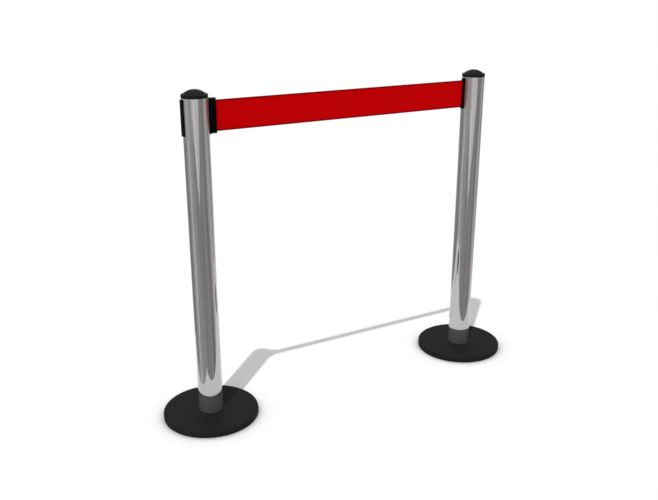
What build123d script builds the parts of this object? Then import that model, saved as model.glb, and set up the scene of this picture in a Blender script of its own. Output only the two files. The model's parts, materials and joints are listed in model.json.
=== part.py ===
from build123d import *
from math import asin, atan2, cos, degrees, hypot, pi, radians, sin, sqrt
import os

# Belt barrier: two weighted posts joined by a retractable belt.
#
# The right post holds the belt cassette, and the belt's end clip hangs on the left post's
# receiver. Millimetres. +Z is up, +X runs from the left post to the right post, and the
# origin is on the floor, midway between the posts.

os.makedirs("parts", exist_ok=True)

# ---- driving dimensions ---------------------------------------------------------------

post_spacing = 989.0
overall_height = 1016.0
left_x = -post_spacing / 2
right_x = post_spacing / 2

base_r = 148.0
base_top = 20.0
cover_wall = 1.2
cover_edge_r = 4.5
floor_gap = 1.5

ring_in_r = 116.0
ring_out_r = 134.0
ring_top = 6.0

tube_r = 37.5
tube_wall = 1.5
tube_in_r = tube_r - tube_wall
tube_bottom = 77.5
tube_top = 993.0

collar_r = 37.1
spigot_r = 35.9
spigot_top = 100.0
rod_hole_r = 6.6

cap_r = 38.0
cap_flange_top = 1003.2
dome_r = 32.5

belt_bottom = 893.4
belt_top = 982.9
belt_width = belt_top - belt_bottom
belt_thickness = 0.6
belt_length = 2300.0

# Bolt through the base: M12 with its washer
bolt_r = 6.0
bolt_head_af = 18.0
head_bottom = 3.5
washer_bottom = 11.0
washer_top = 13.0
washer_r = 12.0
counterbore_r = 15.0
foot_top = 108.5
bolt_end = 112.0

# Receivers on the left post
plate_out = 40.6
plate_width = 19.0
plate_bottom = 887.0
plate_top = 989.0
window_width = 17.0
window_bottom = 892.0
window_top = 985.0
window_corner_r = 0.5
body_width = 16.6
body_bottom = 892.4
body_top = 984.6
body_back = 28.0
pocket_back = 30.0
front_wall_back = 36.6
pocket_width = 12.4
core_bottom = 884.0
core_top = 987.0
core_bore_r = 10.0
screw_hole_end = 15.0
screw_end = 18.0

# Hooks of the clip: a T-shaped head on a narrow neck
clip_lift = 12.5
hook_heights = (904.0, 952.0)
hook_height = 12.0
head_width = 8.0
head_back = 33.4
head_front = 36.2
neck_width = 4.0
hook_gap = 0.35

# Clip on the belt's end, measured outward from the left post's axis
clip_back = 41.0
clip_out = 61.0
clip_split = 43.7
clip_half_back = 9.0
clip_half_out = 6.6
clip_bottom = 889.3
clip_top = 989.0
clip_corner_r = 1.6
clip_end_r = 1.0
pin_at = 52.3
pin_r = 2.0
loop_in_r = 2.3
clip_gap = 0.45

# Screws
screw_r = 1.5
screw_head_r = 2.8
socket_r = 1.2
socket_depth = 1.0
receiver_screw_heights = (896.2, 980.8)
clip_screw_at = 46.3
clip_screw_heights = (900.0, 938.0, 976.0)
clip_head_seat = 6.2
clip_thread_depth = 5.0

# Belt outlet on the right post, measured outward from that post's axis
nose_out = 47.3
nose_width = 8.4
nose_bottom = 888.6
nose_top = 989.0
nose_fit = 0.2
nose_edge_r = 1.4
slit_width = 2.0
nose_flange_in = 34.45
nose_flange_width = 14.0

# Belt cassette: levels
seat_bottom = 840.0
cassette_bottom = 847.0
cassette_floor = 850.0
lid_bottom = 860.0
case_bottom = 862.0
case_roof = 882.3
case_top = 884.5
mid_bottom = 887.0
mid_top = 889.5
reel_bottom_flange = (890.6, 892.6)
reel_top_flange = (983.4, 984.6)
top_plate_bottom = 985.0
top_plate_top = 987.0
seat_bore_r = 29.0
plate_r = 35.8
pillar_thread_r = screw_r - 0.3

# Belt cassette: radii, about the reel's axis
reel_offset = 3.0
reel_x = right_x + reel_offset
shaft_r = 4.0
bush_bore_r = 4.05
bush_r = 5.6
barrel_r = 11.0
reel_flange_r = 24.5
neck_r = 9.0
neck_hole_r = 10.0
case_r = 26.0
case_wall = 1.5
drum_in_r = 25.0
drum_out_r = 27.0
shoe_out_r = 23.2
shoe_in_r = 16.0
shoe_bottom = 852.0
shoe_top = 858.0
shoe_pin_r = 1.5
shoe_pivot_r = 19.6
shoe_pivot_angle = -52.0
spring_start_r = 6.6
spring_pitch = 2.2
spring_turns = 7
spring_thickness = 0.4
pillar_r = 2.2
pillar_circle_r = 33.2
pillar_angles = (45, 130, 230, 315)

# Guide rollers beside the outlet
roller_r = 3.0
roller_pin_r = 1.25
roller_x = right_x - 30.6
roller_y = 3.9

# Belt still wound on the reel, and its outer radius
free_length = roller_x - (left_x + pin_at)
wound_length = belt_length - free_length - 60.0
roll_r = sqrt(barrel_r**2 + wound_length * belt_thickness / pi)
print("belt on the reel", round(wound_length), "mm, outer radius", round(roll_r, 2), "mm")


# ---- helpers --------------------------------------------------------------------------


def save(part, name):
    """Label a finished sub-part and write its STEP file."""
    part.label = name
    export_step(part, f"parts/{name}.step")


def level(x, z):
    """Horizontal plane at height z, centred on x."""
    return Plane(origin=(x, 0, z), x_dir=(1, 0, 0), z_dir=(0, 0, 1))


def facing(x, distance, side):
    """Upright plane that faces side (+1 or -1) along X, at a distance from x; its Y is up."""
    return Plane(origin=(x + side * distance, 0, 0), x_dir=(0, side, 0), z_dir=(side, 0, 0))


def upright(y):
    """Upright plane across the belt, at y behind it, centred on the left post; its Y is up."""
    return Plane(origin=(left_x, y, 0), x_dir=(1, 0, 0), z_dir=(0, -1, 0))


def disc(x, z, height, radius, bore=0.0):
    """Flat disc or ring, joined to the part being built."""
    with BuildSketch(level(x, z)) as outline:
        Circle(radius)
        if bore:
            Circle(bore, mode=Mode.SUBTRACT)
    extrude(outline.sketch, amount=height)


# ---- base and foot of a post ----------------------------------------------------------


def floor_ring(x, name):
    """Rubber ring that the post stands on."""
    with BuildPart() as ring:
        disc(x, 0, ring_top, ring_out_r, ring_in_r)
        bottom_edges = ring.edges().group_by(Axis.Z)[0]
        chamfer(bottom_edges, 0.8)
    save(ring.part, name)


def base_weight(x, name):
    """Cast disc, with a groove for the floor ring and a counterbore for the bolt."""
    weight_r = base_r - cover_wall - 0.1
    weight_top = base_top - cover_wall
    with BuildPart() as weight:
        disc(x, floor_gap, weight_top - floor_gap, weight_r)
        fillet(weight.edges().group_by(Axis.Z)[-1], cover_edge_r - cover_wall)
        with BuildSketch(level(x, floor_gap)):
            Circle(ring_out_r)
            Circle(ring_in_r, mode=Mode.SUBTRACT)
        extrude(amount=ring_top - floor_gap, mode=Mode.SUBTRACT)
        with BuildSketch(level(x, floor_gap)):
            Circle(counterbore_r)
        extrude(amount=washer_top - floor_gap, mode=Mode.SUBTRACT)
        with BuildSketch(level(x, floor_gap)):
            Circle(rod_hole_r)
        extrude(amount=base_top, mode=Mode.SUBTRACT)
    save(weight.part, name)


def base_cover(x, name):
    """Thin pressed pan over the weight."""
    with BuildPart() as cover:
        disc(x, floor_gap, base_top - floor_gap, base_r)
        fillet(cover.edges().group_by(Axis.Z)[-1], cover_edge_r)
        with BuildSketch(level(x, 0)):
            Circle(base_r - cover_wall)
        inside = extrude(amount=base_top - cover_wall, mode=Mode.PRIVATE)
        inside = inside.fillet(cover_edge_r - cover_wall, inside.edges().group_by(Axis.Z)[-1])
        add(inside, mode=Mode.SUBTRACT)
        with BuildSketch(level(x, 0)):
            Circle(rod_hole_r)
        extrude(amount=base_top + 1, mode=Mode.SUBTRACT)
    save(cover.part, name)


def base_bolt(x, name):
    """Hexagon-head bolt that clamps the base, collar and tube foot together."""
    with BuildPart() as bolt:
        with BuildSketch(level(x, head_bottom)):
            RegularPolygon(bolt_head_af / 2, 6, major_radius=False)
        extrude(amount=washer_bottom - head_bottom)
        disc(x, washer_bottom, bolt_end - washer_bottom, bolt_r)
        chamfer(bolt.edges().group_by(Axis.Z)[-1], 1.0)
    save(bolt.part, name)


def base_washer(x, name):
    """Plain washer under the bolt's head."""
    with BuildPart() as washer:
        disc(x, washer_bottom, washer_top - washer_bottom, washer_r, bolt_r + 0.4)
    save(washer.part, name)


def collar(x, name):
    """Neck between the base and the tube, with a spigot inside the tube."""
    with BuildPart() as neck:
        disc(x, base_top, tube_bottom - base_top, collar_r)
        outer = neck.faces().filter_by(GeomType.CYLINDER).edges()
        chamfer(outer.group_by(Axis.Z)[0], 0.6)
        disc(x, tube_bottom, spigot_top - tube_bottom, spigot_r)
        chamfer(neck.edges().group_by(Axis.Z)[-1], 1.0)
        with BuildSketch(level(x, base_top)):
            Circle(rod_hole_r)
        extrude(amount=spigot_top, mode=Mode.SUBTRACT)
    save(neck.part, name)


def tube_foot(x, name):
    """Plate fixed inside the tube, threaded for the base bolt."""
    with BuildPart() as foot:
        disc(x, spigot_top + 0.2, foot_top - spigot_top - 0.2, tube_in_r, bolt_r)
    save(foot.part, name)


# ---- tube and cap ---------------------------------------------------------------------


def tube(x, windows, name):
    """Post tube. Each window is (side, width, bottom, top)."""
    with BuildPart() as post:
        disc(x, tube_bottom, tube_top - tube_bottom, tube_r, tube_in_r)
        for side, width, bottom, top in windows:
            with BuildSketch(facing(x, tube_in_r / 2, side)):
                with Locations((0, (bottom + top) / 2)):
                    RectangleRounded(width, top - bottom, window_corner_r)
            extrude(amount=tube_r, mode=Mode.SUBTRACT)
    save(post.part, name)


def cap(x, name):
    """Domed plug: flange on the tube's end, and a notched skirt inside the tube."""
    dome_height = overall_height - cap_flange_top
    sphere_r = (dome_r**2 + dome_height**2) / (2 * dome_height)
    half_angle = asin(dome_r / sphere_r) / 2
    mid_point = (sphere_r * sin(half_angle), overall_height - sphere_r * (1 - cos(half_angle)))
    skirt_bottom = 987.5
    skirt_in_r = 32.5
    notch_width = 24.0
    recess_top = 1000.0
    edge_r = 1.6
    with BuildPart() as plug:
        with BuildSketch(Plane(origin=(x, 0, 0), x_dir=(1, 0, 0), z_dir=(0, -1, 0))):
            with BuildLine():
                Polyline(
                    (0, overall_height), (0, recess_top), (skirt_in_r, recess_top),
                    (skirt_in_r, skirt_bottom), (spigot_r, skirt_bottom), (spigot_r, tube_top),
                    (cap_r - 0.6, tube_top), (cap_r, tube_top + 0.6),
                    (cap_r, cap_flange_top - edge_r),
                )
                ThreePointArc(
                    (cap_r, cap_flange_top - edge_r),
                    (cap_r - edge_r * (1 - cos(pi / 4)), cap_flange_top - edge_r * (1 - sin(pi / 4))),
                    (cap_r - edge_r, cap_flange_top),
                )
                Line((cap_r - edge_r, cap_flange_top), (dome_r, cap_flange_top))
                ThreePointArc((dome_r, cap_flange_top), mid_point, (0, overall_height))
            make_face()
        revolve(axis=Axis((x, 0, 0), (0, 0, 1)))
        with BuildSketch(level(x, skirt_bottom)):
            Rectangle(2 * tube_r, notch_width)
            Rectangle(notch_width, 2 * tube_r)
        extrude(amount=tube_top - skirt_bottom, mode=Mode.SUBTRACT)
    save(plug.part, name)


# ---- receivers of the left post -------------------------------------------------------


def receiver_core():
    """Moulded core inside the tube's head, with a pocket for each receiver."""
    with BuildPart() as core:
        disc(left_x, core_bottom, core_top - core_bottom, spigot_r, core_bore_r)
        for side in (-1, 1):
            with BuildSketch(facing(left_x, body_back - 0.2, side)):
                with Locations((0, (body_bottom + body_top) / 2)):
                    Rectangle(body_width + 0.3, body_top - body_bottom + 0.4)
            extrude(amount=tube_in_r - body_back + 1.0, mode=Mode.SUBTRACT)
            with BuildSketch(facing(left_x, screw_hole_end, side)):
                with Locations(*[(0, z) for z in receiver_screw_heights]):
                    Circle(screw_r)
            extrude(amount=body_back - screw_hole_end, mode=Mode.SUBTRACT)
    save(core.part, "receiver_core")


def receiver(side, name):
    """Receiver plate with two keyholes, in a window of the tube."""
    middle = (plate_bottom + plate_top) / 2
    plate_back = 34.0
    corner_r = 2.0
    edge_r = 0.7
    with BuildPart() as plate:
        with BuildSketch(facing(left_x, plate_back, side)):
            with Locations((0, middle)):
                RectangleRounded(plate_width, plate_top - plate_bottom, corner_r)
        extrude(amount=plate_out - plate_back)
        outer_face = plate.faces().sort_by(Axis.X)[-1 if side > 0 else 0]
        fillet(outer_face.edges().filter_by(Axis.Z), edge_r)
        with BuildSketch(level(left_x, plate_bottom)):
            Circle(tube_r + 0.05)
        extrude(amount=plate_top - plate_bottom, mode=Mode.SUBTRACT)
        with BuildSketch(facing(left_x, body_back, side)):
            with Locations((0, (body_bottom + body_top) / 2)):
                Rectangle(body_width, body_top - body_bottom)
        extrude(amount=plate_out - 1.0 - body_back)
        cavity_bottom = receiver_screw_heights[0] + 4.5
        cavity_top = receiver_screw_heights[1] - 4.5
        with BuildSketch(facing(left_x, pocket_back, side)):
            with Locations((0, (cavity_bottom + cavity_top) / 2)):
                Rectangle(pocket_width, cavity_top - cavity_bottom)
        extrude(amount=front_wall_back - pocket_back, mode=Mode.SUBTRACT)
        with BuildSketch(facing(left_x, pocket_back + 1.0, side)):
            for bottom in hook_heights:
                low = bottom - hook_gap
                seat = bottom + hook_height + 0.15
                high = bottom + clip_lift + hook_height + hook_gap
                with Locations((0, (low + high) / 2)):
                    Rectangle(neck_width + 2 * hook_gap, high - low)
                with Locations((0, (seat + high) / 2)):
                    Rectangle(head_width + 2 * hook_gap, high - seat)
        extrude(amount=plate_out - pocket_back, mode=Mode.SUBTRACT)
        with BuildSketch(facing(left_x, body_back, side)):
            with Locations(*[(0, z) for z in receiver_screw_heights]):
                Circle(screw_r + 0.1)
        extrude(amount=plate_out - body_back, mode=Mode.SUBTRACT)
        head_depth = screw_head_r - screw_r
        for z in receiver_screw_heights:
            with BuildSketch(facing(left_x, plate_out - head_depth, side)):
                with Locations((0, z)):
                    Circle(screw_r + 0.1)
            with BuildSketch(facing(left_x, plate_out, side)):
                with Locations((0, z)):
                    Circle(screw_head_r + 0.1)
            loft(mode=Mode.SUBTRACT)
    save(plate.part, name)


def receiver_screws():
    """Countersunk screws that hold both receivers to the core."""
    head_depth = screw_head_r - screw_r
    with BuildPart() as screws:
        for side in (-1, 1):
            for z in receiver_screw_heights:
                face = plate_out - 0.05
                with BuildSketch(facing(left_x, face - head_depth, side)):
                    with Locations((0, z)):
                        Circle(screw_r)
                with BuildSketch(facing(left_x, face, side)):
                    with Locations((0, z)):
                        Circle(screw_head_r)
                loft()
                with BuildSketch(facing(left_x, screw_end, side)):
                    with Locations((0, z)):
                        Circle(screw_r)
                extrude(amount=face - head_depth - screw_end)
                with BuildSketch(facing(left_x, face - socket_depth, side)):
                    with Locations((0, z)):
                        RegularPolygon(socket_r, 6)
                extrude(amount=2 * socket_depth, mode=Mode.SUBTRACT)
    save(screws.part, "receiver_screws")


# ---- clip on the belt's end -----------------------------------------------------------


def clip_outline(first, last):
    """Tapered plan of the clip, cut off at two distances from the left post's axis."""
    slope = (clip_half_back - clip_half_out) / (clip_out - clip_back)
    half_first = clip_half_back - slope * (first - clip_back)
    half_last = clip_half_back - slope * (last - clip_back)
    Polygon(
        (first, -half_first), (last, -half_last), (last, half_last), (first, half_first),
        align=None,
    )


def cut_belt_space():
    """Room for the belt, its sewn loop and the clip pin, cut from a half of the clip."""
    loop_out_r = loop_in_r + belt_thickness
    space_bottom = belt_bottom - clip_gap
    with BuildSketch(level(left_x, space_bottom)) as belt_space:
        with Locations((pin_at, 0)):
            Circle(loop_out_r + clip_gap)
        with Locations((pin_at + 5, 0)):
            Rectangle(10, belt_thickness + 2 * clip_gap)
    extrude(belt_space.sketch, amount=belt_width + 2 * clip_gap, mode=Mode.SUBTRACT)
    with BuildSketch(level(left_x, space_bottom)) as pin_space:
        with Locations((pin_at, 0)):
            Circle(pin_r)
    extrude(pin_space.sketch, amount=belt_width + 4.0, mode=Mode.SUBTRACT)


def whole_clip():
    """Both halves of the clip as one rounded block, in the part being built."""
    with BuildSketch(level(left_x, clip_bottom)) as outline:
        clip_outline(clip_back, clip_out)
    block = extrude(outline.sketch, amount=clip_top - clip_bottom)
    fillet(block.edges().filter_by(Axis.Z), clip_corner_r)


def round_clip_ends(block):
    """Softens the top and bottom edges of the clip's block."""
    fillet(block.edges().group_by(Axis.Z)[-1], clip_end_r)
    fillet(block.edges().group_by(Axis.Z)[0], clip_end_r)


def rear_half(gap, mode):
    """Cuts the clip to its rear half, or that half away, leaving a gap at the joint."""
    reach = clip_out - clip_split
    with BuildSketch(level(left_x, clip_bottom)) as half:
        with Locations((clip_split + gap + reach / 2, clip_half_back / 2 + gap)):
            Rectangle(reach, clip_half_back)
    extrude(half.sketch, amount=clip_top - clip_bottom, mode=mode)


def clip_body():
    """Front half of the clip, with its back wall and the two hooks."""
    with BuildPart() as body:
        whole_clip()
        round_clip_ends(body)
        rear_half(0.0, Mode.SUBTRACT)
        cut_belt_space()
        with BuildSketch(upright(0.0)):
            with Locations(*[(clip_screw_at, z) for z in clip_screw_heights]):
                Circle(screw_r)
        extrude(amount=clip_thread_depth, mode=Mode.SUBTRACT)
        for bottom in hook_heights:
            with BuildSketch(facing(left_x, head_back, 1)):
                with Locations((0, bottom + hook_height / 2)):
                    Rectangle(head_width, hook_height)
            extrude(amount=head_front - head_back)
            with BuildSketch(facing(left_x, head_front, 1)):
                with Locations((0, bottom + hook_height / 2)):
                    Rectangle(neck_width, hook_height)
            extrude(amount=clip_back + 1 - head_front)
    save(body.part, "clip_body")


def clip_cover():
    """Rear half of the clip, screwed to the front half over the belt."""
    with BuildPart() as cover:
        whole_clip()
        round_clip_ends(cover)
        rear_half(0.05, Mode.INTERSECT)
        cut_belt_space()
        with BuildSketch(upright(0.0)):
            with Locations(*[(clip_screw_at, z) for z in clip_screw_heights]):
                Circle(screw_r + 0.1)
        extrude(amount=-clip_half_back, mode=Mode.SUBTRACT)
        with BuildSketch(upright(clip_head_seat)):
            with Locations(*[(clip_screw_at, z) for z in clip_screw_heights]):
                Circle(screw_head_r - 0.2)
        extrude(amount=-clip_half_back, mode=Mode.SUBTRACT)
    save(cover.part, "clip_cover")


def clip_screws():
    """Pan-head screws through the clip's rear half into its front half."""
    head_height = 1.6
    with BuildPart() as screws:
        for z in clip_screw_heights:
            with BuildSketch(upright(clip_head_seat)):
                with Locations((clip_screw_at, z)):
                    Circle(screw_head_r - 0.4)
            extrude(amount=-head_height)
            with BuildSketch(upright(clip_head_seat)):
                with Locations((clip_screw_at, z)):
                    Circle(screw_r)
            extrude(amount=clip_head_seat + clip_thread_depth - 0.2)
            with BuildSketch(upright(clip_head_seat + head_height / 2)):
                with Locations((clip_screw_at, z)):
                    RegularPolygon(socket_r, 6)
            extrude(amount=-head_height, mode=Mode.SUBTRACT)
    save(screws.part, "clip_screws")


def clip_pin():
    """Steel pin inside the belt's sewn loop."""
    with BuildPart() as pin:
        disc(left_x + pin_at, belt_bottom - clip_gap, belt_width + 3.6, pin_r)
        chamfer(pin.edges().group_by(Axis.Z)[-1], 0.3)
    save(pin.part, "clip_pin")


# ---- belt -----------------------------------------------------------------------------


def belt():
    """Belt from its tangent point on the roll, round the guide roller, to its sewn loop."""
    wrap_r = roll_r + 0.3 + belt_thickness / 2
    across = reel_x - roller_x
    turn = atan2(-roller_y, across) + asin((roller_y + wrap_r) / hypot(across, roller_y))
    print("belt turns", round(degrees(turn), 1), "degrees at the guide roller")
    bend_mid = (roller_x + roller_y * sin(turn / 2), roller_y * (1 - cos(turn / 2)))
    bend_end = (roller_x + roller_y * sin(turn), roller_y * (1 - cos(turn)))
    roll_point = (reel_x - wrap_r * sin(turn), wrap_r * cos(turn))
    loop_mid_r = loop_in_r + belt_thickness / 2
    pin_x = left_x + pin_at
    with BuildPart() as webbing:
        with BuildSketch(level(0, belt_bottom)):
            with BuildLine():
                Line((pin_x + loop_mid_r, 0), (roller_x, 0))
                ThreePointArc((roller_x, 0), bend_mid, bend_end)
                Line(bend_end, roll_point)
            trace(line_width=belt_thickness)
            with Locations((pin_x, 0)):
                Circle(loop_in_r + belt_thickness)
                Circle(loop_in_r, mode=Mode.SUBTRACT)
        extrude(amount=belt_width)
    save(webbing.part, "belt")


# ---- outlet and cassette of the right post --------------------------------------------


def outlet_nose():
    """Narrow nose in the tube's window, slit for the belt, with a flange behind the wall."""
    with BuildPart() as nose:
        with BuildSketch(facing(right_x, nose_flange_in, -1)):
            with Locations((0, (nose_bottom + nose_top) / 2)):
                Rectangle(nose_width, nose_top - nose_bottom)
        extrude(amount=nose_out - nose_flange_in)
        outer = nose.faces().sort_by(Axis.X)[0].edges()
        fillet(outer, nose_edge_r)
        flange_bottom = mid_top + 0.2
        flange_top = top_plate_bottom - 0.3
        back_cut_from = 30.0
        slit_from = 25.0
        with BuildSketch(level(right_x, flange_bottom)) as segment:
            Circle(tube_in_r)
            Circle(nose_flange_in, mode=Mode.SUBTRACT)
            with Locations((-tube_r, 0)):
                Rectangle(tube_r, nose_flange_width, mode=Mode.INTERSECT)
        extrude(amount=flange_top - flange_bottom)
        with BuildSketch(facing(right_x, back_cut_from, -1)):
            with Locations((0, flange_top + nose_width), (0, flange_bottom - nose_width)):
                Rectangle(2 * nose_width, 2 * nose_width)
        extrude(amount=plate_r + 0.1 - back_cut_from, mode=Mode.SUBTRACT)
        with BuildSketch(facing(right_x, slit_from, -1)):
            with Locations((0, (belt_bottom + belt_top) / 2)):
                Rectangle(slit_width, belt_width + 1.0)
        extrude(amount=nose_out - slit_from + 1.0, mode=Mode.SUBTRACT)
    save(nose.part, "outlet_nose")


def cassette_seat():
    """Ring fixed inside the tube, that the cassette stands on."""
    with BuildPart() as seat:
        disc(right_x, seat_bottom, cassette_bottom - seat_bottom, tube_in_r, seat_bore_r)
    save(seat.part, "cassette_seat")


def pillar_places():
    """Centres of the pillars, about the right post's axis."""
    return [
        (pillar_circle_r * cos(radians(a)), pillar_circle_r * sin(radians(a)))
        for a in pillar_angles
    ]


def cassette_plate(bottom, top, bore_r, pillar_hole_r, roller_pins, name):
    """Round plate of the cassette's frame."""
    with BuildPart() as plate:
        disc(right_x, bottom, top - bottom, plate_r)
        with BuildSketch(level(reel_x, bottom)):
            Circle(bore_r)
        extrude(amount=top - bottom, mode=Mode.SUBTRACT)
        with BuildSketch(level(right_x, bottom)):
            with Locations(*pillar_places()):
                Circle(pillar_hole_r)
            if roller_pins:
                with Locations(*[(roller_x - right_x, s * roller_y) for s in (-1, 1)]):
                    Circle(roller_pin_r)
        extrude(amount=top - bottom, mode=Mode.SUBTRACT)
    save(plate.part, name)


def cassette_pillars():
    """Pillars between the cassette's floor and its top plate, tapped at both ends."""
    with BuildPart() as pillars:
        with BuildSketch(level(right_x, cassette_floor)):
            with Locations(*pillar_places()):
                Circle(pillar_r)
                Circle(pillar_thread_r, mode=Mode.SUBTRACT)
        extrude(amount=top_plate_bottom - cassette_floor)
    save(pillars.part, "cassette_pillars")


def cassette_screws():
    """Screws into both ends of the pillars, flush with the plates."""
    reach = 10.0
    with BuildPart() as screws:
        with BuildSketch(level(right_x, cassette_bottom)):
            with Locations(*pillar_places()):
                Circle(pillar_thread_r)
        extrude(amount=cassette_floor - cassette_bottom + reach)
        with BuildSketch(level(right_x, top_plate_top)):
            with Locations(*pillar_places()):
                Circle(pillar_thread_r)
        extrude(amount=-(top_plate_top - top_plate_bottom + reach))
    save(screws.part, "cassette_screws")


def reel_shaft():
    """Fixed shaft, held by the cassette's floor and top plate."""
    with BuildPart() as shaft:
        disc(reel_x, cassette_bottom, top_plate_top - cassette_bottom, shaft_r)
    save(shaft.part, "reel_shaft")


def reel():
    """Reel with two flanges, and a neck down to the spring case."""
    with BuildPart() as spool:
        disc(reel_x, case_top, reel_top_flange[1] - case_top, neck_r)
        barrel_bottom = reel_bottom_flange[0]
        disc(reel_x, barrel_bottom, reel_top_flange[1] - barrel_bottom, barrel_r)
        for bottom, top in (reel_bottom_flange, reel_top_flange):
            disc(reel_x, bottom, top - bottom, reel_flange_r)
        with BuildSketch(level(reel_x, case_top)):
            Circle(bush_r)
        extrude(amount=reel_top_flange[1] - case_top, mode=Mode.SUBTRACT)
    save(spool.part, "reel")


def reel_bushes():
    """Plain bushes pressed into both ends of the reel."""
    bush_length = 12.0
    with BuildPart() as bushes:
        for bottom in (case_top, reel_top_flange[1] - bush_length):
            disc(reel_x, bottom, bush_length, bush_r, bush_bore_r)
    save(bushes.part, "reel_bushes")


def thrust_washer():
    """Washer under the reel's lower flange."""
    with BuildPart() as washer:
        disc(reel_x, mid_top, 0.7, 17.0, neck_hole_r + 0.3)
    save(washer.part, "thrust_washer")


def belt_roll():
    """Belt still wound on the reel."""
    with BuildPart() as roll:
        disc(reel_x, belt_bottom, belt_width, roll_r, barrel_r)
    save(roll.part, "belt_roll")


def spring_case():
    """Cup under the reel that turns with it and holds the mainspring."""
    with BuildPart() as case:
        disc(reel_x, case_bottom, case_top - case_bottom, case_r)
        with BuildSketch(level(reel_x, case_bottom)):
            Circle(case_r - case_wall)
        extrude(amount=case_roof - case_bottom, mode=Mode.SUBTRACT)
        with BuildSketch(level(reel_x, case_bottom)):
            Circle(shaft_r + 0.5)
        extrude(amount=case_top - case_bottom, mode=Mode.SUBTRACT)
    save(case.part, "spring_case")


def shoe_turn(index):
    """Angle of each brake shoe round the reel, in degrees."""
    return 180.0 * index


def spring_case_lid():
    """Lid of the spring case, with holes for the brake shoes' pins."""
    with BuildPart() as lid:
        disc(reel_x, lid_bottom, case_bottom - lid_bottom, case_r, shaft_r + 0.5)
        with BuildSketch(level(reel_x, lid_bottom)):
            for index in (0, 1):
                angle = radians(shoe_pivot_angle + shoe_turn(index))
                with Locations((shoe_pivot_r * cos(angle), shoe_pivot_r * sin(angle))):
                    Circle(shoe_pin_r)
        extrude(amount=case_bottom - lid_bottom, mode=Mode.SUBTRACT)
    save(lid.part, "spring_case_lid")


def spiral_half_turns(radius):
    """Half circles of a spiral that starts at a radius; the last point is returned."""
    here = radius
    for half in range(2 * spring_turns):
        centre = 0.0 if half % 2 == 0 else spring_pitch / 2
        reach = radius + half * spring_pitch / 2
        way = 1 if half % 2 == 0 else -1
        ThreePointArc(
            (centre + way * reach, 0), (centre, way * reach), (centre - way * reach, 0)
        )
        here = centre - way * reach
    return here


def mainspring():
    """Flat spiral spring, from the fixed shaft's side out to the spring case."""
    with BuildPart() as spring:
        with BuildSketch(level(reel_x, case_bottom + 1.5)):
            with BuildLine():
                inner_end = spiral_half_turns(spring_start_r)
                outer_end = spiral_half_turns(spring_start_r + spring_thickness)
                Line((spring_start_r, 0), (spring_start_r + spring_thickness, 0))
                Line((inner_end, 0), (outer_end, 0))
            make_face()
        extrude(amount=case_roof - case_bottom - 3.0)
    save(spring.part, "mainspring")


def brake_drum():
    """Fixed ring that the brake shoes rub on when the reel spins fast."""
    with BuildPart() as drum:
        disc(reel_x, cassette_floor, shoe_top + 0.6 - cassette_floor, drum_out_r, drum_in_r)
    save(drum.part, "brake_drum")


def brake_shoe(index, name):
    """Crescent-shaped weight on a pin, that swings out as the reel speeds up."""
    turn = shoe_turn(index)
    pivot = radians(shoe_pivot_angle + turn)
    half_span = 62.0
    far = 60.0
    low = radians(turn - half_span)
    high = radians(turn + half_span)
    with BuildPart() as shoe:
        with BuildSketch(level(reel_x, shoe_bottom)):
            Circle(shoe_out_r)
            Circle(shoe_in_r, mode=Mode.SUBTRACT)
            Polygon(
                (0, 0), (far * cos(low), far * sin(low)),
                (far * 2 * cos(radians(turn)), far * 2 * sin(radians(turn))),
                (far * cos(high), far * sin(high)),
                align=None, mode=Mode.INTERSECT,
            )
            with Locations((shoe_pivot_r * cos(pivot), shoe_pivot_r * sin(pivot))):
                Circle(shoe_pin_r + 0.05, mode=Mode.SUBTRACT)
        extrude(amount=shoe_top - shoe_bottom)
    save(shoe.part, name)


def brake_pins():
    """Pins in the spring case's lid that the brake shoes swing on."""
    with BuildPart() as pins:
        for index in (0, 1):
            angle = radians(shoe_pivot_angle + shoe_turn(index))
            with BuildSketch(level(reel_x, shoe_bottom - 0.6)):
                with Locations((shoe_pivot_r * cos(angle), shoe_pivot_r * sin(angle))):
                    Circle(shoe_pin_r)
            extrude(amount=case_bottom - shoe_bottom + 0.6)
    save(pins.part, "brake_pins")


def guide_roller(side, name):
    """Roller beside the belt, just inside the outlet."""
    with BuildPart() as roller:
        with BuildSketch(level(roller_x, mid_top + 0.8)):
            with Locations((0, side * roller_y)):
                Circle(roller_r)
                Circle(roller_pin_r + 0.06, mode=Mode.SUBTRACT)
        extrude(amount=top_plate_bottom - mid_top - 1.4)
    save(roller.part, name)


def roller_pins():
    """Pins of the two guide rollers, held by the middle and top plates."""
    with BuildPart() as pins:
        with BuildSketch(level(roller_x, mid_bottom)):
            with Locations((0, -roller_y), (0, roller_y)):
                Circle(roller_pin_r)
        extrude(amount=top_plate_top - mid_bottom)
    save(pins.part, "roller_pins")


# ---- build ----------------------------------------------------------------------------

left_windows = [(side, window_width, window_bottom, window_top) for side in (-1, 1)]
right_windows = [
    (-1, nose_width + 2 * nose_fit, nose_bottom - nose_fit, nose_top + nose_fit)
]

for post, x, windows in (("left", left_x, left_windows), ("right", right_x, right_windows)):
    floor_ring(x, f"{post}_floor_ring")
    base_weight(x, f"{post}_base_weight")
    base_cover(x, f"{post}_base_cover")
    base_bolt(x, f"{post}_base_bolt")
    base_washer(x, f"{post}_base_washer")
    collar(x, f"{post}_collar")
    tube_foot(x, f"{post}_tube_foot")
    tube(x, windows, f"{post}_tube")
    cap(x, f"{post}_cap")

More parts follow.
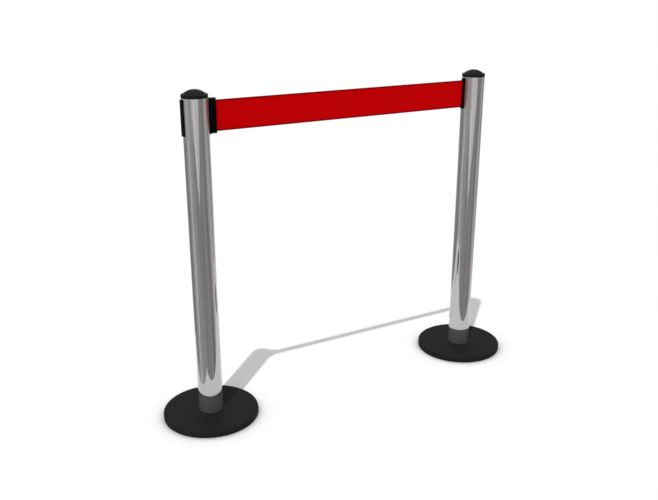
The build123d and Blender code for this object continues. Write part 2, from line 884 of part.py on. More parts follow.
receiver_core()
receiver(-1, "free_receiver")
receiver(1, "belt_receiver")
receiver_screws()
clip_body()
clip_cover()
clip_screws()
clip_pin()
belt()
outlet_nose()
cassette_seat()
cassette_plate(cassette_bottom, cassette_floor, shaft_r, pillar_thread_r, False, "cassette_floor")
cassette_plate(mid_bottom, mid_top, neck_hole_r, pillar_r, True, "cassette_mid_plate")
cassette_plate(top_plate_bottom, top_plate_top, shaft_r, pillar_thread_r, True, "cassette_top_plate")
cassette_pillars()
cassette_screws()
reel_shaft()
reel()
reel_bushes()
thrust_washer()
belt_roll()
spring_case()
spring_case_lid()
mainspring()
brake_drum()
brake_shoe(0, "brake_shoe_a")
brake_shoe(1, "brake_shoe_b")
brake_pins()
guide_roller(1, "roller_back")
guide_roller(-1, "roller_front")
roller_pins()
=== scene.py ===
"""Looks of the belt barrier: polished posts, black mouldings and a woven red belt.

Metres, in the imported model's frame: +Z up, +X along the belt from the left post to the
right post, origin on the floor midway between the posts.
"""

import json
import math

import bmesh
import bpy
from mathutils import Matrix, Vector


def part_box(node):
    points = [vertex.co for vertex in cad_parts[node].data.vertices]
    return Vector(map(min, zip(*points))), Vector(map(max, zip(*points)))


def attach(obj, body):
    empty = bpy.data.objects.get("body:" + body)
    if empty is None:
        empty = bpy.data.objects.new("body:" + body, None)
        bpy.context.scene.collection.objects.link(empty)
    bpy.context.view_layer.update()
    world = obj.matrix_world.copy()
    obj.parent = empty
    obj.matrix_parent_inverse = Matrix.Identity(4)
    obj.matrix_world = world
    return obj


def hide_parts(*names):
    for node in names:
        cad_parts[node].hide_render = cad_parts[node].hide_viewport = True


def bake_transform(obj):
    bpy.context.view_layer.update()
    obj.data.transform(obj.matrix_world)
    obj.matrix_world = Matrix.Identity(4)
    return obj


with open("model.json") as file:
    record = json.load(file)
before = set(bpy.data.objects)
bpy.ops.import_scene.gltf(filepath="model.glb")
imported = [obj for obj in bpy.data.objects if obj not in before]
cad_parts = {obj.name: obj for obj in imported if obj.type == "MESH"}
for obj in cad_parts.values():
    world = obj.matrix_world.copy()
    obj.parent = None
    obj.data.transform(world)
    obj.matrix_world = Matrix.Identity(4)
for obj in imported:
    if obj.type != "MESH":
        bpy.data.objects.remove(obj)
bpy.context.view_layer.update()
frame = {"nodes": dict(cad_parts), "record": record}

MM = 0.001
POSTS = ("left", "right")
BODY = {"left": "left_post", "right": "right_post"}


# ---- small helpers ----------------------------------------------------------------------


def middle(node):
    """Centre of a CAD node's box."""
    low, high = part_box(node)
    return (low + high) / 2


def node_radius(node):
    """Radius of a round upright CAD node."""
    low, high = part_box(node)
    return (high.y - low.y) / 2


def post_x(post):
    """The X of a post's axis."""
    return middle(f"{post}_base_weight").x


def make_object(name, mesh_data):
    """A new object for a bmesh, linked to the scene."""
    mesh = bpy.data.meshes.new(name)
    bmesh.ops.recalc_face_normals(mesh_data, faces=mesh_data.faces)
    mesh_data.to_mesh(mesh)
    mesh_data.free()
    piece = bpy.data.objects.new(name, mesh)
    bpy.context.scene.collection.objects.link(piece)
    return piece


def apply_modifiers(piece):
    """Makes the modifiers' result the piece's own mesh."""
    graph = bpy.context.evaluated_depsgraph_get()
    result = bpy.data.meshes.new_from_object(piece.evaluated_get(graph))
    piece.modifiers.clear()
    old = piece.data
    piece.data = result
    bpy.data.meshes.remove(old)


def shade(piece, angle, weighted=True):
    """Smooth shading, with edges sharper than angle kept crisp. Weighted normals keep the
    large faces beside small rounded edges flat."""
    piece.data.shade_smooth()
    piece.data.set_sharp_from_angle(angle=math.radians(angle))
    if weighted:
        normals = piece.modifiers.new("normals", "WEIGHTED_NORMAL")
        normals.mode = "FACE_AREA"
        normals.weight = 50
        normals.keep_sharp = True
        apply_modifiers(piece)


def bevel(piece, width, segments, angle):
    """Rounds the edges of a piece that are sharper than angle, in degrees."""
    rounding = piece.modifiers.new("edges", "BEVEL")
    rounding.width = width
    rounding.segments = segments
    rounding.limit_method = "ANGLE"
    rounding.angle_limit = math.radians(angle)
    apply_modifiers(piece)


def lathe(name, profile, x, segments=192):
    """A turned piece: profile is a closed loop of (radius, height) about the axis at x.

    A point with a radius of 0 is a single vertex on the axis."""
    solid = bmesh.new()
    rings = []
    for radius, height in profile:
        if radius == 0:
            rings.append([solid.verts.new((x, 0, height))])
            continue
        ring = []
        for step in range(segments):
            angle = 2 * math.pi * step / segments
            spot = (x + radius * math.cos(angle), radius * math.sin(angle), height)
            ring.append(solid.verts.new(spot))
        rings.append(ring)
    for first, second in zip(rings, rings[1:] + rings[:1]):
        if len(first) == 1 and len(second) == 1:
            continue
        for step in range(segments):
            after = (step + 1) % segments
            corners = [first[step % len(first)], first[after % len(first)],
                       second[after % len(second)], second[step % len(second)]]
            solid.faces.new(list(dict.fromkeys(corners)))
    return make_object(name, solid)


def arc(centre, radius, first, last, steps):
    """Points of an arc in a (radius, height) profile, between two angles in degrees."""
    points = []
    for step in range(steps + 1):
        angle = math.radians(first + (last - first) * step / steps)
        points.append((centre[0] + radius * math.cos(angle), centre[1] + radius * math.sin(angle)))
    return points


def turn_between(first, second):
    """Angle between two directions, in radians, whichever way round is shorter."""
    return abs((first - second + math.pi) % (2 * math.pi) - math.pi)


# ---- node helpers -----------------------------------------------------------------------


class Graph:
    """Short names for building a tree of shader nodes on one kind of coordinates."""

    def __init__(self, tree, coordinates):
        self.tree = tree
        self.place = self.add("ShaderNodeTexCoord").outputs[coordinates]

    def add(self, kind, **settings):
        """A new node with these settings."""
        node = self.tree.nodes.new(kind)
        for key, value in settings.items():
            setattr(node, key, value)
        return node

    def join(self, output, target):
        """Links an output to an input."""
        self.tree.links.new(output, target)

    def feed(self, socket, value):
        """Gives an input a number, a colour or another node's output."""
        if isinstance(value, (int, float)):
            socket.default_value = value
        elif isinstance(value, tuple):
            socket.default_value = (*value, 1.0)
        else:
            self.join(value, socket)

    def split(self):
        """The X, Y and Z of the coordinates."""
        node = self.add("ShaderNodeSeparateXYZ")
        self.join(self.place, node.inputs["Vector"])
        return [node.outputs[axis] for axis in "XYZ"]

    def stretch(self, scale):
        """The coordinates, scaled along each axis."""
        mapping = self.add("ShaderNodeMapping")
        mapping.inputs["Scale"].default_value = scale
        self.join(self.place, mapping.inputs["Vector"])
        return mapping.outputs["Vector"]

    def noise(self, place, scale=1.0, detail=3.0, roughness=0.5):
        """Cloudy noise, from about 0.3 to 0.7."""
        node = self.add("ShaderNodeTexNoise")
        node.inputs["Scale"].default_value = scale
        node.inputs["Detail"].default_value = detail
        node.inputs["Roughness"].default_value = roughness
        self.join(place, node.inputs["Vector"])
        return node.outputs["Fac"]

    def ramp(self, value, stops):
        """Colour ramp: stops are (position, grey or colour)."""
        node = self.add("ShaderNodeValToRGB")
        elements = node.color_ramp.elements
        while len(elements) < len(stops):
            elements.new(0.5)
        for element, (position, colour) in zip(elements, stops):
            element.position = position
            if isinstance(colour, (int, float)):
                colour = (colour, colour, colour)
            element.color = (*colour, 1.0)
        self.join(value, node.inputs["Fac"])
        return node.outputs["Color"]

    def spread(self, value, low, high, new_low, new_high):
        """Maps one range of a value to another, clamped."""
        node = self.add("ShaderNodeMapRange")
        ends = {"From Min": low, "From Max": high, "To Min": new_low, "To Max": new_high}
        for key, number in ends.items():
            node.inputs[key].default_value = number
        self.join(value, node.inputs["Value"])
        return node.outputs["Result"]

    def math(self, operation, first, second=None):
        """One operation on one or two values."""
        node = self.add("ShaderNodeMath", operation=operation)
        self.feed(node.inputs[0], first)
        if second is not None:
            self.feed(node.inputs[1], second)
        return node.outputs["Value"]

    def away(self, value, centre):
        """Distance of a value from a centre."""
        return self.math("ABSOLUTE", self.math("SUBTRACT", value, centre))

    def mix(self, factor, first, second, blend="MIX"):
        """Blends two colours by a value."""
        node = self.add("ShaderNodeMix", data_type="RGBA", blend_type=blend)
        self.feed(node.inputs["Factor"], factor)
        colours = [socket for socket in node.inputs if socket.type == "RGBA"]
        self.feed(colours[0], first)
        self.feed(colours[1], second)
        return [socket for socket in node.outputs if socket.type == "RGBA"][0]

    def choose(self, switch, off, on):
        """One shader where the switch is 0, another where it is 1."""
        node = self.add("ShaderNodeMixShader")
        for socket, value in zip(node.inputs, (switch, off, on)):
            self.join(value, socket)
        return node.outputs["Shader"]


class Surface(Graph):
    """A new material, on object coordinates, with its shader's inputs by name."""

    def __init__(self, name):
        self.material = bpy.data.materials.new(name)
        self.material.use_nodes = True
        super().__init__(self.material.node_tree, "Object")
        self.shader = self.tree.nodes["Principled BSDF"]

    def set(self, **values):
        """Sets inputs that are the same all over the surface."""
        for key, value in values.items():
            self.shader.inputs[key.replace("_", " ")].default_value = value

    def vary(self, name, output):
        """Links an input that changes over the surface."""
        self.join(output, self.shader.inputs[name])

    def bump(self, height, strength, distance, under=None):
        """Surface normal of a height, over another normal where one is given."""
        node = self.add("ShaderNodeBump")
        node.inputs["Strength"].default_value = strength
        node.inputs["Distance"].default_value = distance
        self.join(height, node.inputs["Height"])
        if under is not None:
            self.join(under, node.inputs["Normal"])
        return node.outputs["Normal"]

    def edge_wear(self, low, high):
        """A value that is high on exposed edges, from the mesh's pointiness."""
        pointed = self.add("ShaderNodeNewGeometry").outputs["Pointiness"]
        return self.spread(pointed, low, high, 0.0, 1.0)


# ---- materials --------------------------------------------------------------------------


def polished_steel():
    """Polished stainless tube: faint lengthwise lines, light haze, duller beside the windows."""
    m = Surface("polished_steel")
    m.set(Metallic=0.9)
    lines = m.noise(m.stretch((420, 420, 2.2)), detail=4)
    haze = m.noise(m.stretch((9, 9, 5)), detail=5, roughness=0.6)
    m.vary("Base Color", m.ramp(haze, [(0.25, (0.475, 0.459, 0.464)), (0.75, (0.52, 0.503, 0.508))]))
    smooth = m.math("ADD", m.spread(lines, 0.3, 0.7, 0.035, 0.075), m.spread(haze, 0.45, 0.8, 0.0, 0.05))

    # Hands dull the sides of the heads that hold a window: both of the left, one of the right
    x, _, z = m.split()
    axis_x = post_x("right")
    window_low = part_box("free_receiver")[0].z
    to_side = m.away(m.math("ABSOLUTE", x), axis_x)
    dull = m.math("MULTIPLY", m.spread(to_side, 20 * MM, 33 * MM, 0.0, 0.30),
                  m.spread(z, window_low - 20 * MM, window_low, 0.0, 1.0))
    window_side = m.math("LESS_THAN", x, axis_x)
    m.vary("Roughness", m.math("ADD", smooth, m.math("MULTIPLY", dull, window_side)))

    waves = m.noise(m.stretch((60, 60, 4)), detail=3)
    uneven = m.bump(waves, 0.4, 0.8 * MM)
    m.vary("Normal", m.bump(lines, 0.08, 0.2 * MM, uneven))
    return m.material


def powder_coat():
    """Black powder coat: fine orange peel, mottled tone and paler worn edges."""
    m = Surface("black_powder_coat")
    grain = m.noise(m.stretch((650, 650, 650)), detail=3)
    cloud = m.noise(m.stretch((7, 7, 7)), detail=5, roughness=0.6)
    tone = m.ramp(cloud, [(0.3, (0.0120, 0.0113, 0.0116)), (0.7, (0.0160, 0.0151, 0.0155))])
    worn_tone = (0.06, 0.058, 0.056)
    worn = m.math("MULTIPLY", m.edge_wear(0.535, 0.62), m.spread(grain, 0.45, 0.65, 0.0, 0.5))
    m.vary("Base Color", m.mix(worn, tone, worn_tone))
    m.vary("Roughness", m.spread(cloud, 0.2, 0.8, 0.52, 0.68))
    m.set(Specular_IOR_Level=0.04)
    m.vary("Normal", m.bump(grain, 0.22, 0.4 * MM))
    return m.material


def moulded_plastic(name, dark, light, roughness, specular=0.35):
    """Moulded plastic: fine spark-eroded grain, mottled tone, paler rubbed edges."""
    m = Surface(name)
    grain = m.noise(m.stretch((900, 900, 900)), detail=2)
    cloud = m.noise(m.stretch((22, 22, 22)), detail=4, roughness=0.6)
    tone = m.mix(m.spread(cloud, 0.3, 0.7, 0.0, 1.0), dark, light)
    rubbed = tuple(2.2 * c + 0.01 for c in light)
    worn = m.math("MULTIPLY", m.edge_wear(0.53, 0.66), m.spread(cloud, 0.4, 0.62, 0.0, 0.55))
    m.vary("Base Color", m.mix(worn, tone, rubbed))
    m.vary("Roughness", m.spread(cloud, 0.25, 0.75, roughness - 0.05, roughness + 0.07))
    m.set(Specular_IOR_Level=specular)
    m.vary("Normal", m.bump(grain, 0.18, 0.25 * MM))
    return m.material


def rubber():
    """Dull black rubber with a dusty bloom."""
    m = Surface("floor_rubber")
    cloud = m.noise(m.stretch((40, 40, 40)), detail=5, roughness=0.65)
    m.vary("Base Color", m.ramp(cloud, [(0.35, 0.012), (0.75, 0.035)]))
    m.vary("Roughness", m.spread(cloud, 0.2, 0.8, 0.75, 0.92))
    m.set(Specular_IOR_Level=0.2)
    m.vary("Normal", m.bump(cloud, 0.3, 0.6 * MM))
    return m.material


def plain_metal(name, dark, light, roughness, lines=(300, 300, 300)):
    """Machined or plated metal with fine tool lines and mottling."""
    m = Surface(name)
    m.set(Metallic=1.0)
    tool = m.noise(m.stretch(lines), detail=3)
    cloud = m.noise(m.stretch((60, 60, 60)), detail=4)
    m.vary("Base Color", m.mix(m.spread(cloud, 0.3, 0.7, 0.0, 1.0), dark, light))
    m.vary("Roughness", m.spread(tool, 0.3, 0.7, roughness - 0.08, roughness + 0.1))
    m.vary("Normal", m.bump(tool, 0.15, 0.2 * MM))
    return m.material


def webbing():
    """Woven red polyester: crossing yarns, slight dye variation, darker long edges, low sheen."""
    m = Surface("red_webbing")
    low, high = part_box("belt")
    centre = (low.z + high.z) / 2
    half = (high.z - low.z) / 2
    yarn = 1.1 * MM
    red = (0.64, 0.0004, 0.0018)
    edge_dark_red = (0.13, 0.0002, 0.0010)

    x, _, z = m.split()
    along = m.math("SINE", m.math("MULTIPLY", x, 2 * math.pi / yarn))
    across = m.math("SINE", m.math("MULTIPLY", z, 2 * math.pi / yarn))
    weave = m.math("MULTIPLY", along, across)
    fuzz = m.noise(m.stretch((900, 900, 900)), detail=2)
    dye = m.noise(m.stretch((6, 6, 18)), detail=4, roughness=0.6)
    streak = m.noise(m.stretch((3, 3, 520)), detail=2)
    tone = m.ramp(dye, [(0.25, (0.52, 0.0002, 0.0011)), (0.75, (0.59, 0.0003, 0.0015))])
    pattern = m.math("ADD", weave, m.spread(streak, 0.3, 0.7, -0.6, 0.6))
    woven = m.mix(m.spread(pattern, -1.6, 1.6, 0.0, 0.42), red, tone)

    # The colour darkens towards both long edges: softly over the selvedge's width, and sharply in its
    # last few yarns
    from_centre = m.away(z, centre)
    selvedge = m.math("MAXIMUM", m.spread(from_centre, half - 8.5 * MM, half - 2.0 * MM, 0.0, 0.5),
                      m.spread(from_centre, half - 3.6 * MM, half - 2.6 * MM, 0.0, 0.85))
    m.vary("Base Color", m.mix(selvedge, woven, edge_dark_red))
    m.vary("Roughness", m.spread(fuzz, 0.3, 0.7, 0.62, 0.78))
    m.set(Specular_IOR_Level=0.012, Sheen_Weight=0.015, Sheen_Roughness=0.45,
          Sheen_Tint=(1.0, 0.02, 0.02, 1.0))
    height = m.math("ADD", weave, m.spread(fuzz, 0.3, 0.7, -0.25, 0.25))
    m.vary("Normal", m.bump(height, 0.35, 0.18 * MM))
    return m.material


def studio_floor():
    """Plain white matt floor with painted contact shade: its colour is darker where something stands
    close over it. It shows from above only, so that it doesn't hide the underside."""
    m = Surface("studio_floor")
    cloud = m.noise(m.stretch((3, 3, 3)), detail=3)
    white = m.ramp(cloud, [(0.3, 0.875), (0.7, 0.885)])
    # Painted contact shade: an ambient occlusion node darkens the floor's colour where something stands
    # close over it
    open_sky = m.add("ShaderNodeAmbientOcclusion", samples=16)
    open_sky.inputs["Distance"].default_value = 90 * MM
    painted_contact_shade = m.ramp(m.spread(open_sky.outputs["AO"], 0.5, 1.0, 0.0, 1.0),
                  [(0.0, 0.55), (0.5, 0.78), (0.8, 0.93), (0.97, 1.0)])
    m.vary("Base Color", m.mix(1.0, white, painted_contact_shade, "MULTIPLY"))
    m.set(Roughness=0.95, Specular_IOR_Level=0.0)
    from_below = m.add("ShaderNodeNewGeometry").outputs["Backfacing"]
    clear = m.add("ShaderNodeBsdfTransparent").outputs["BSDF"]
    shown = m.choose(from_below, m.shader.outputs["BSDF"], clear)
    m.join(shown, m.tree.nodes["Material Output"].inputs["Surface"])
    return m.material


BLACK_PLASTIC = moulded_plastic(
    "black_plastic", (0.0014, 0.0009, 0.0009), (0.0024, 0.0016, 0.0016), 0.42, 0.05)
CAP_PLASTIC = moulded_plastic(
    "cap_plastic", (0.0092, 0.0091, 0.0090), (0.0132, 0.0130, 0.0128), 0.46, 0.06)
COLLAR_PLASTIC = moulded_plastic(
    "collar_plastic", (0.079, 0.0735, 0.0755), (0.093, 0.0865, 0.089), 0.6, 0.06)
CORE_PLASTIC = moulded_plastic("core_plastic", (0.02, 0.02, 0.02), (0.035, 0.035, 0.035), 0.5)
ROLLER_PLASTIC = moulded_plastic("roller_plastic", (0.66, 0.65, 0.6), (0.76, 0.75, 0.7), 0.4)
STEEL = polished_steel()
COAT = powder_coat()
RUBBER = rubber()
WEBBING = webbing()
PLATED = plain_metal("plated_steel", (0.42, 0.42, 0.43), (0.56, 0.56, 0.55), 0.34)
BOLT_STEEL = plain_metal("bolt_steel", (0.40, 0.39, 0.37), (0.5, 0.49, 0.46), 0.32)
BLACK_OXIDE = plain_metal("black_oxide", (0.018, 0.018, 0.019), (0.035, 0.035, 0.036), 0.4)
BLUED = plain_metal("blued_spring_steel", (0.14, 0.16, 0.22), (0.22, 0.24, 0.3), 0.28, (40, 40, 900))
BRONZE = plain_metal("sintered_bronze", (0.42, 0.27, 0.13), (0.56, 0.37, 0.19), 0.45)
CAST = plain_metal("cast_iron", (0.05, 0.05, 0.052), (0.1, 0.098, 0.095), 0.7, (420, 420, 420))
SINTERED = plain_metal("sintered_metal", (0.16, 0.16, 0.16), (0.26, 0.25, 0.24), 0.55)

SLOT_MATERIALS = {
    "polished_tube": STEEL, "black_cover": COAT, "cast_weight": CAST, "ring_rubber": RUBBER,
    "collar_plastic": COLLAR_PLASTIC, "cap_plastic": CAP_PLASTIC, "black_plastic": BLACK_PLASTIC,
    "core_plastic": CORE_PLASTIC, "roller_plastic": ROLLER_PLASTIC, "belt_webbing": WEBBING,
    "plain_steel": PLATED, "bolt_steel": BOLT_STEEL, "black_screw": BLACK_OXIDE,
    "spring_steel": BLUED, "bush_bronze": BRONZE, "shoe_metal": SINTERED,
}


def paint(piece, material):
    """Gives a piece one material."""
    piece.data.materials.clear()
    piece.data.materials.append(material)


def place(piece, body, slot, *nodes):
    """Paints a new piece for its slot, and lets it ride and stand for CAD nodes."""
    paint(piece, SLOT_MATERIALS[slot])
    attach(piece, body)
    if nodes:
        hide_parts(*nodes)


# ---- turned pieces of a post ------------------------------------------------------------


def base_cover(post):
    """Pressed pan over the weight, with a rounded rim and a rolled lower edge."""
    low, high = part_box(f"{post}_base_cover")
    radius = node_radius(f"{post}_base_cover")
    wall = 1.2 * MM
    rim = 4.5 * MM
    hem = 0.5 * MM
    under_collar = 20 * MM
    hole = middle(f"{post}_collar").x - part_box(f"{post}_collar")[0].x - under_collar
    profile = [(hole, high.z - wall), (hole, high.z)]
    profile += [(radius * share, high.z) for share in (0.45, 0.8)]
    profile += arc((radius - rim, high.z - rim), rim, 90, 0, 10)
    profile += arc((radius - hem, low.z + hem), hem, 0, -90, 4)
    profile += arc((radius - wall + hem, low.z + hem), hem, -90, -180, 4)
    profile += arc((radius - rim, high.z - rim), rim - wall, 0, 90, 8)
    cover = lathe(f"{post}_cover_pan", profile, post_x(post), 256)
    shade(cover, 40)
    place(cover, BODY[post], "black_cover", f"{post}_base_cover")


def collar(post):
    """Neck with a soft lower edge and a thin shadow groove under the tube."""
    low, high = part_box(f"{post}_collar")
    radius = node_radius(f"{post}_collar")
    spigot = radius - 1.2 * MM
    bore = 6.6 * MM
    foot_round = 0.6 * MM
    top_round = 0.5 * MM
    lead_in = 1 * MM
    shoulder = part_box(f"{post}_tube")[0].z - 0.8 * MM
    profile = [(bore, low.z)]
    profile += arc((radius - foot_round, low.z + foot_round), foot_round, -90, 0, 4)
    profile += arc((radius - top_round, shoulder - top_round), top_round, 0, 90, 4)
    profile += [(spigot, shoulder), (spigot, high.z - lead_in)]
    profile += [(spigot - lead_in, high.z), (bore, high.z)]
    neck = lathe(f"{post}_neck", profile, post_x(post))
    shade(neck, 40)
    place(neck, BODY[post], "collar_plastic", f"{post}_collar")


def cap(post):
    """Domed plug: flange with a soft edge, a small root round the dome, and a skirt."""
    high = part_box(f"{post}_cap")[1]
    radius = node_radius(f"{post}_cap")
    flange_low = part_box(f"{post}_tube")[1].z
    flange_top = high.z - 12.8 * MM
    flange_round = 2.2 * MM
    lip_round = 0.5 * MM

    # The dome is part of a sphere that passes through its rim and its top
    dome_r = 32.5 * MM
    rise = high.z - flange_top
    sphere = (dome_r**2 + rise**2) / (2 * rise)
    centre_z = high.z - sphere
    reach = math.asin((dome_r - 0.6 * MM) / sphere)
    steps = 26
    profile = [(0, high.z)]
    for step in range(1, steps + 1):
        angle = reach * step / steps
        profile.append((sphere * math.sin(angle), centre_z + sphere * math.cos(angle)))
    profile += [(dome_r + 0.1 * MM, flange_top + 0.12 * MM), (dome_r + 1.4 * MM, flange_top)]

    profile += arc((radius - flange_round, flange_top - flange_round), flange_round, 90, 0, 8)
    profile += arc((radius - lip_round, flange_low + lip_round), lip_round, 0, -90, 4)
    skirt_r = 35.9 * MM
    skirt_in_r = 32.5 * MM
    skirt_low = flange_low - 3.6 * MM
    hollow_top = flange_low + 7 * MM
    profile += [(skirt_r, flange_low), (skirt_r, skirt_low), (skirt_in_r, skirt_low)]
    profile += [(skirt_in_r, hollow_top), (0, hollow_top)]
    plug = lathe(f"{post}_cap_dome", profile, post_x(post), 160)
    shade(plug, 32)
    place(plug, BODY[post], "cap_plastic", f"{post}_cap")


def floor_ring(post):
    """Rubber ring with rounded lower edges."""
    low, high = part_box(f"{post}_floor_ring")
    outer = node_radius(f"{post}_floor_ring")
    inner = outer - 18 * MM
    edge = 0.9 * MM
    profile = [(inner, high.z), (outer, high.z)]
    profile += arc((outer - edge, low.z + edge), edge, 0, -90, 5)
    profile += arc((inner + edge, low.z + edge), edge, -90, -180, 5)
    ring = lathe(f"{post}_foot_ring", profile, post_x(post))
    shade(ring, 40)
    place(ring, BODY[post], "ring_rubber", f"{post}_floor_ring")


# ---- tubes ------------------------------------------------------------------------------


def tube(post, windows):
    """Tube wall with its windows. Each window is (side, half width, bottom, top).

    The wall is a grid of faces with a column edge and a row edge along each window's rim."""
    low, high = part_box(f"{post}_tube")
    radius = node_radius(f"{post}_tube")
    wall = 1.5 * MM
    columns = 180
    rows = 24
    too_near = 0.017
    angles = {round(2 * math.pi * step / columns, 9) for step in range(columns)}
    heights = {low.z, high.z}
    heights |= {low.z + (high.z - low.z) * step / rows for step in range(1, rows)}
    spans = []
    for side, half, bottom, top in windows:
        facing = 0.0 if side > 0 else math.pi
        half_angle = math.asin(half / radius)
        spans.append((facing, half_angle, bottom, top))
        rims = [facing + way * half_angle for way in (-1, 1)]
        angles = {a for a in angles if all(turn_between(a, rim) >= too_near for rim in rims)}
        angles |= {round(rim % (2 * math.pi), 9) for rim in rims}
        heights |= {bottom, top}
    angles = sorted(angles)
    heights = sorted(heights)

    shell = bmesh.new()
    x = post_x(post)
    grid = [[shell.verts.new((x + radius * math.cos(a), radius * math.sin(a), z)) for a in angles]
            for z in heights]
    for row in range(len(heights) - 1):
        z = (heights[row] + heights[row + 1]) / 2
        for column in range(len(angles)):
            after = (column + 1) % len(angles)
            gap = (angles[after] - angles[column]) % (2 * math.pi)
            angle = angles[column] + gap / 2
            open_here = any(turn_between(angle, facing) < half_angle and bottom < z < top
                            for facing, half_angle, bottom, top in spans)
            if not open_here:
                shell.faces.new([grid[row][column], grid[row][after],
                                 grid[row + 1][after], grid[row + 1][column]])
    loose = [vertex for vertex in shell.verts if not vertex.link_faces]
    bmesh.ops.delete(shell, geom=loose, context="VERTS")

    piece = make_object(f"{post}_tube_wall", shell)
    thickness = piece.modifiers.new("wall", "SOLIDIFY")
    thickness.thickness = wall
    thickness.offset = -1.0
    apply_modifiers(piece)
    bevel(piece, 0.28 * MM, 2, 50)
    shade(piece, 15)
    place(piece, BODY[post], "polished_tube", f"{post}_tube")


# ---- belt -------------------------------------------------------------------------------


def belt_section():
    """Cross-section of the webbing: fine lengthwise ribs and narrow, rounded selvedges.

    Points are (offset from the belt's mid plane, height)."""
    low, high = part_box("belt")
    half_thick = 0.3 * MM
    ribs = 34
    count = ribs * 4
    depth = 0.07 * MM
    edge = 0.32 * MM
    tip_half = 0.16 * MM
    tip_drop = 0.07 * MM
    bottom = low.z + edge
    top = high.z - edge
    front = []
    for step in range(count + 1):
        share = step / count
        groove = 0.5 - 0.5 * math.cos(2 * math.pi * ribs * share)
        front.append((-half_thick + depth * (1 - groove), bottom + (top - bottom) * share))
    tip = [(-tip_half, high.z - tip_drop), (0.0, high.z), (tip_half, high.z - tip_drop)]
    back = [(-offset, z) for offset, z in reversed(front)]
    toe = [(tip_half, low.z + tip_drop), (0.0, low.z), (-tip_half, low.z + tip_drop)]
    return front + tip + back + toe


def sweep_belt(name, path):
    """A strip of webbing along stations, each (x, y, sideways x, sideways y)."""
    section = belt_section()
    strip = bmesh.new()
    rings = []
    for x, y, side_x, side_y in path:
        rings.append([strip.verts.new((x + side_x * offset, y + side_y * offset, z))
                      for offset, z in section])
    count = len(section)
    for first, second in zip(rings, rings[1:]):
        for step in range(count):
            after = (step + 1) % count
            strip.faces.new([first[step], first[after], second[after], second[step]])
    strip.faces.new(rings[0])
    strip.faces.new(list(reversed(rings[-1])))
    piece = make_object(name, strip)
    shade(piece, 60)
    paint(piece, WEBBING)
    return piece


def level_run(first, last, steps):
    """Stations along X on the belt's straight stretch."""
    return [(first + (last - first) * step / steps, 0.0, 0.0, 1.0) for step in range(steps + 1)]


def free_belt(seam):
    """The belt from the seam near the clip, round the guide roller, to the roll on the reel."""
    roller = middle("roller_back")
    reel = middle("belt_roll")
    wrap = node_radius("belt_roll") + 0.6 * MM
    bend = roller.y
    across = reel.x - roller.x
    turn = math.atan2(-bend, across) + math.asin((bend + wrap) / math.hypot(across, bend))
    bend_steps = 8
    path = level_run(seam, roller.x, 90)
    for step in range(1, bend_steps + 1):
        angle = turn * step / bend_steps
        path.append((roller.x + bend * math.sin(angle), bend * (1 - math.cos(angle)),
                     -math.sin(angle), math.cos(angle)))
    meets_roll = (reel.x - wrap * math.sin(turn), wrap * math.cos(turn), -math.sin(turn), math.cos(turn))
    path.append(meets_roll)
    main = sweep_belt("belt_webbing", path)
    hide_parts("belt")
    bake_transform(main)


def clip_end(seam):
    """The belt's last part, from the seam into the clip, and the sewn loop round the clip's pin.

    The loop stays open by a little more than the belt's thickness, and the belt fills the gap."""
    pin = middle("clip_pin")
    loop = 2.6 * MM
    loop_in = 2.3 * MM
    belt_room = 0.33 * MM
    opening = math.asin(belt_room / loop_in)
    loop_turn = 2 * math.pi - 2 * opening
    junction = pin.x + loop * math.cos(opening)

    end = sweep_belt("belt_end", list(reversed(level_run(junction, seam, 14))))
    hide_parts("belt")
    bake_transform(end)

    loop_path = []
    turns = 24
    for step in range(turns, -1, -1):
        angle = opening + loop_turn * step / turns
        loop_path.append((pin.x + loop * math.cos(angle), loop * math.sin(angle),
                          -math.cos(angle), -math.sin(angle)))
    loop_piece = sweep_belt("belt_end_loop", loop_path)
    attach(loop_piece, "belt_clip")


def belts():
    """The belt in its three sheets, with the seam a little way from the clip."""
    clip_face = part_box("clip_body")[1].x
    seam = clip_face + 45 * MM
    free_belt(seam)
    clip_end(seam)


# ---- CAD nodes that stay ----------------------------------------------------------------


def paint_cad_nodes():
    """Every CAD node takes the material of its slot and crisp-edged smooth shading."""
    for row in frame["record"]["subparts"]:
        node = frame["nodes"][row["node"]]
        paint(node, SLOT_MATERIALS[row["material_slot"]])
        shade(node, 32, weighted=False)


# ---- studio -----------------------------------------------------------------------------


def camera():
    """Camera in front of the barrier and to its left, a little above it, looking down."""
    lens = bpy.data.cameras.new("camera")
    lens.sensor_width = 36.0
    lens.lens = 43.43
    lens.clip_start = 0.05
    lens.clip_end = 100.0
    view = bpy.data.objects.new("camera", lens)
    bpy.context.scene.collection.objects.link(view)
    heading = math.radians(60.07)
    pitch = math.radians(-18.99)
    view.location = (-1.2765, -2.1051, 1.3085)
    forward = Vector((math.cos(heading) * math.cos(pitch), math.sin(heading) * math.cos(pitch),
                      math.sin(pitch)))
    view.rotation_mode = "QUATERNION"
    view.rotation_quaternion = forward.to_track_quat("-Z", "Y")
    bpy.context.scene.camera = view


def floor():
    """White floor that the camera sees, and a smaller one that only mirrors and bounced light see."""
    material = studio_floor()
    areas = {
        "studio_floor": (-2.4, -1.1, 1.7, 1.5, 0.0),
        "mirrored_floor": (-0.745, -0.29, 0.92, 0.60, 0.2 * MM),
    }
    for name, (left, front, right, back, height) in areas.items():
        plate = bmesh.new()
        corners = [(left, front), (right, front), (right, back), (left, back)]
        plate.faces.new([plate.verts.new((x, y, height)) for x, y in corners])
        piece = make_object(name, plate)
        paint(piece, material)
        for_camera = name == "studio_floor"
        piece.visible_camera = for_camera
        piece.visible_diffuse = not for_camera
        piece.visible_glossy = not for_camera
        piece.visible_shadow = False


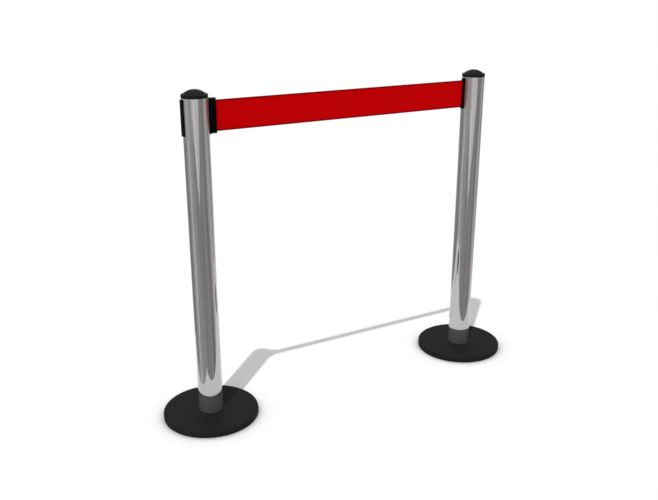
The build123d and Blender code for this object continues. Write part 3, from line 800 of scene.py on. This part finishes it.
def sun():
    """Key light from the front left, high up."""
    key = bpy.data.lights.new("key", "SUN")
    key.energy = 1.86
    key.angle = math.radians(0.8)
    lamp = bpy.data.objects.new("key", key)
    bpy.context.scene.collection.objects.link(lamp)
    travel = Vector((0.294, 0.278, -0.914))
    lamp.rotation_mode = "QUATERNION"
    lamp.rotation_quaternion = travel.to_track_quat("-Z", "Y")


def room(g):
    """Brightness of a grey room round the barrier: walls, a window and far floor, all streaked."""
    x, y, z = g.split()
    to_degrees = 180 / math.pi
    azimuth = g.math("MULTIPLY", g.math("ARCTAN2", y, x), to_degrees)
    rise = g.math("MULTIPLY", g.math("ARCSINE", z), to_degrees)

    # Walls: (azimuth in degrees, brightness)
    brightest = 1.3
    walls = [(-180, 0.62), (-170, 0.52), (-150, 0.36), (-130, 0.30), (-110, 0.33), (-90, 0.28),
             (-70, 0.31), (-52, 0.20), (-42, 0.30), (-30, 0.60), (-10, 0.55), (10, 0.42), (25, 0.5),
             (45, 0.72), (62, 1.1), (85, 0.9), (96, 0.25), (110, 0.38), (128, 0.27), (150, 0.5),
             (170, 0.66), (180, 0.62)]
    stops = [((angle + 180) / 360, light / brightest) for angle, light in walls]
    shades = g.ramp(g.spread(azimuth, -180, 180, 0, 1), stops)
    wall = g.math("MULTIPLY", shades, brightest)

    # A window that widens upwards from a point, and a pale stretch of floor on the far side
    window_azimuth = -114.0
    window_half = g.spread(rise, -16.5, -8.5, -4.0, 28.0)
    beside = g.math("SUBTRACT", g.away(azimuth, window_azimuth), window_half)
    window = g.math("MULTIPLY", g.spread(beside, 0.0, 7.0, 0.6, 0.0),
                    g.spread(rise, -16.0, -14.5, 0.0, 1.0))
    far_azimuth = 22
    far_floor = g.math("MULTIPLY", g.spread(g.away(azimuth, far_azimuth), 30, 42, 1.0, 0.0),
                       g.spread(rise, -24, -14, 0.55, 0.0))

    upright = g.stretch((3.6, 3.6, 0.5))
    broad = g.noise(upright, 1.3, 4.0, 0.7)
    fine = g.noise(upright, 6.5, 2.0)
    streaks = g.math("MULTIPLY", g.spread(broad, 0.38, 0.62, 0.70, 1.30),
                     g.spread(fine, 0.35, 0.65, 0.82, 1.18))
    return g.math("MULTIPLY", g.math("ADD", g.math("ADD", wall, window), far_floor), streaks)


def surroundings():
    """White studio. The camera sees plain white, matt surfaces are lit by an even white fill, and
    glossy ones mirror the grey room."""
    world = bpy.data.worlds.new("studio")
    bpy.context.scene.world = world
    world.use_nodes = True
    world.node_tree.nodes.clear()
    g = Graph(world.node_tree, "Generated")

    def background(strength):
        node = g.add("ShaderNodeBackground")
        g.feed(node.inputs["Color"], (1.0, 1.0, 1.0))
        g.feed(node.inputs["Strength"], strength)
        return node.outputs["Background"]

    rays = g.add("ShaderNodeLightPath")
    lit = g.choose(rays.outputs["Is Glossy Ray"], background(0.625), background(room(g)))
    seen = g.choose(rays.outputs["Is Camera Ray"], lit, background(1.0))
    g.join(seen, g.add("ShaderNodeOutputWorld").inputs["Surface"])


# ---- build ------------------------------------------------------------------------------

camera()
paint_cad_nodes()
for post in POSTS:
    floor_ring(post)
    base_cover(post)
    collar(post)
    cap(post)

# The left tube has a window behind each receiver, the right tube one round the nose
receiver_low, receiver_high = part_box("free_receiver")
receiver_window = (8.5 * MM, receiver_low.z + 5 * MM, receiver_high.z - 4 * MM)
tube("left", [(side, *receiver_window) for side in (-1, 1)])
nose_low, nose_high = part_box("outlet_nose")
nose_gap = 0.2 * MM
tube("right", [(-1, 4.4 * MM, nose_low.z - nose_gap, nose_high.z + nose_gap)])
belts()
floor()
sun()
surroundings()
bpy.context.scene.view_settings.view_transform = "Standard"
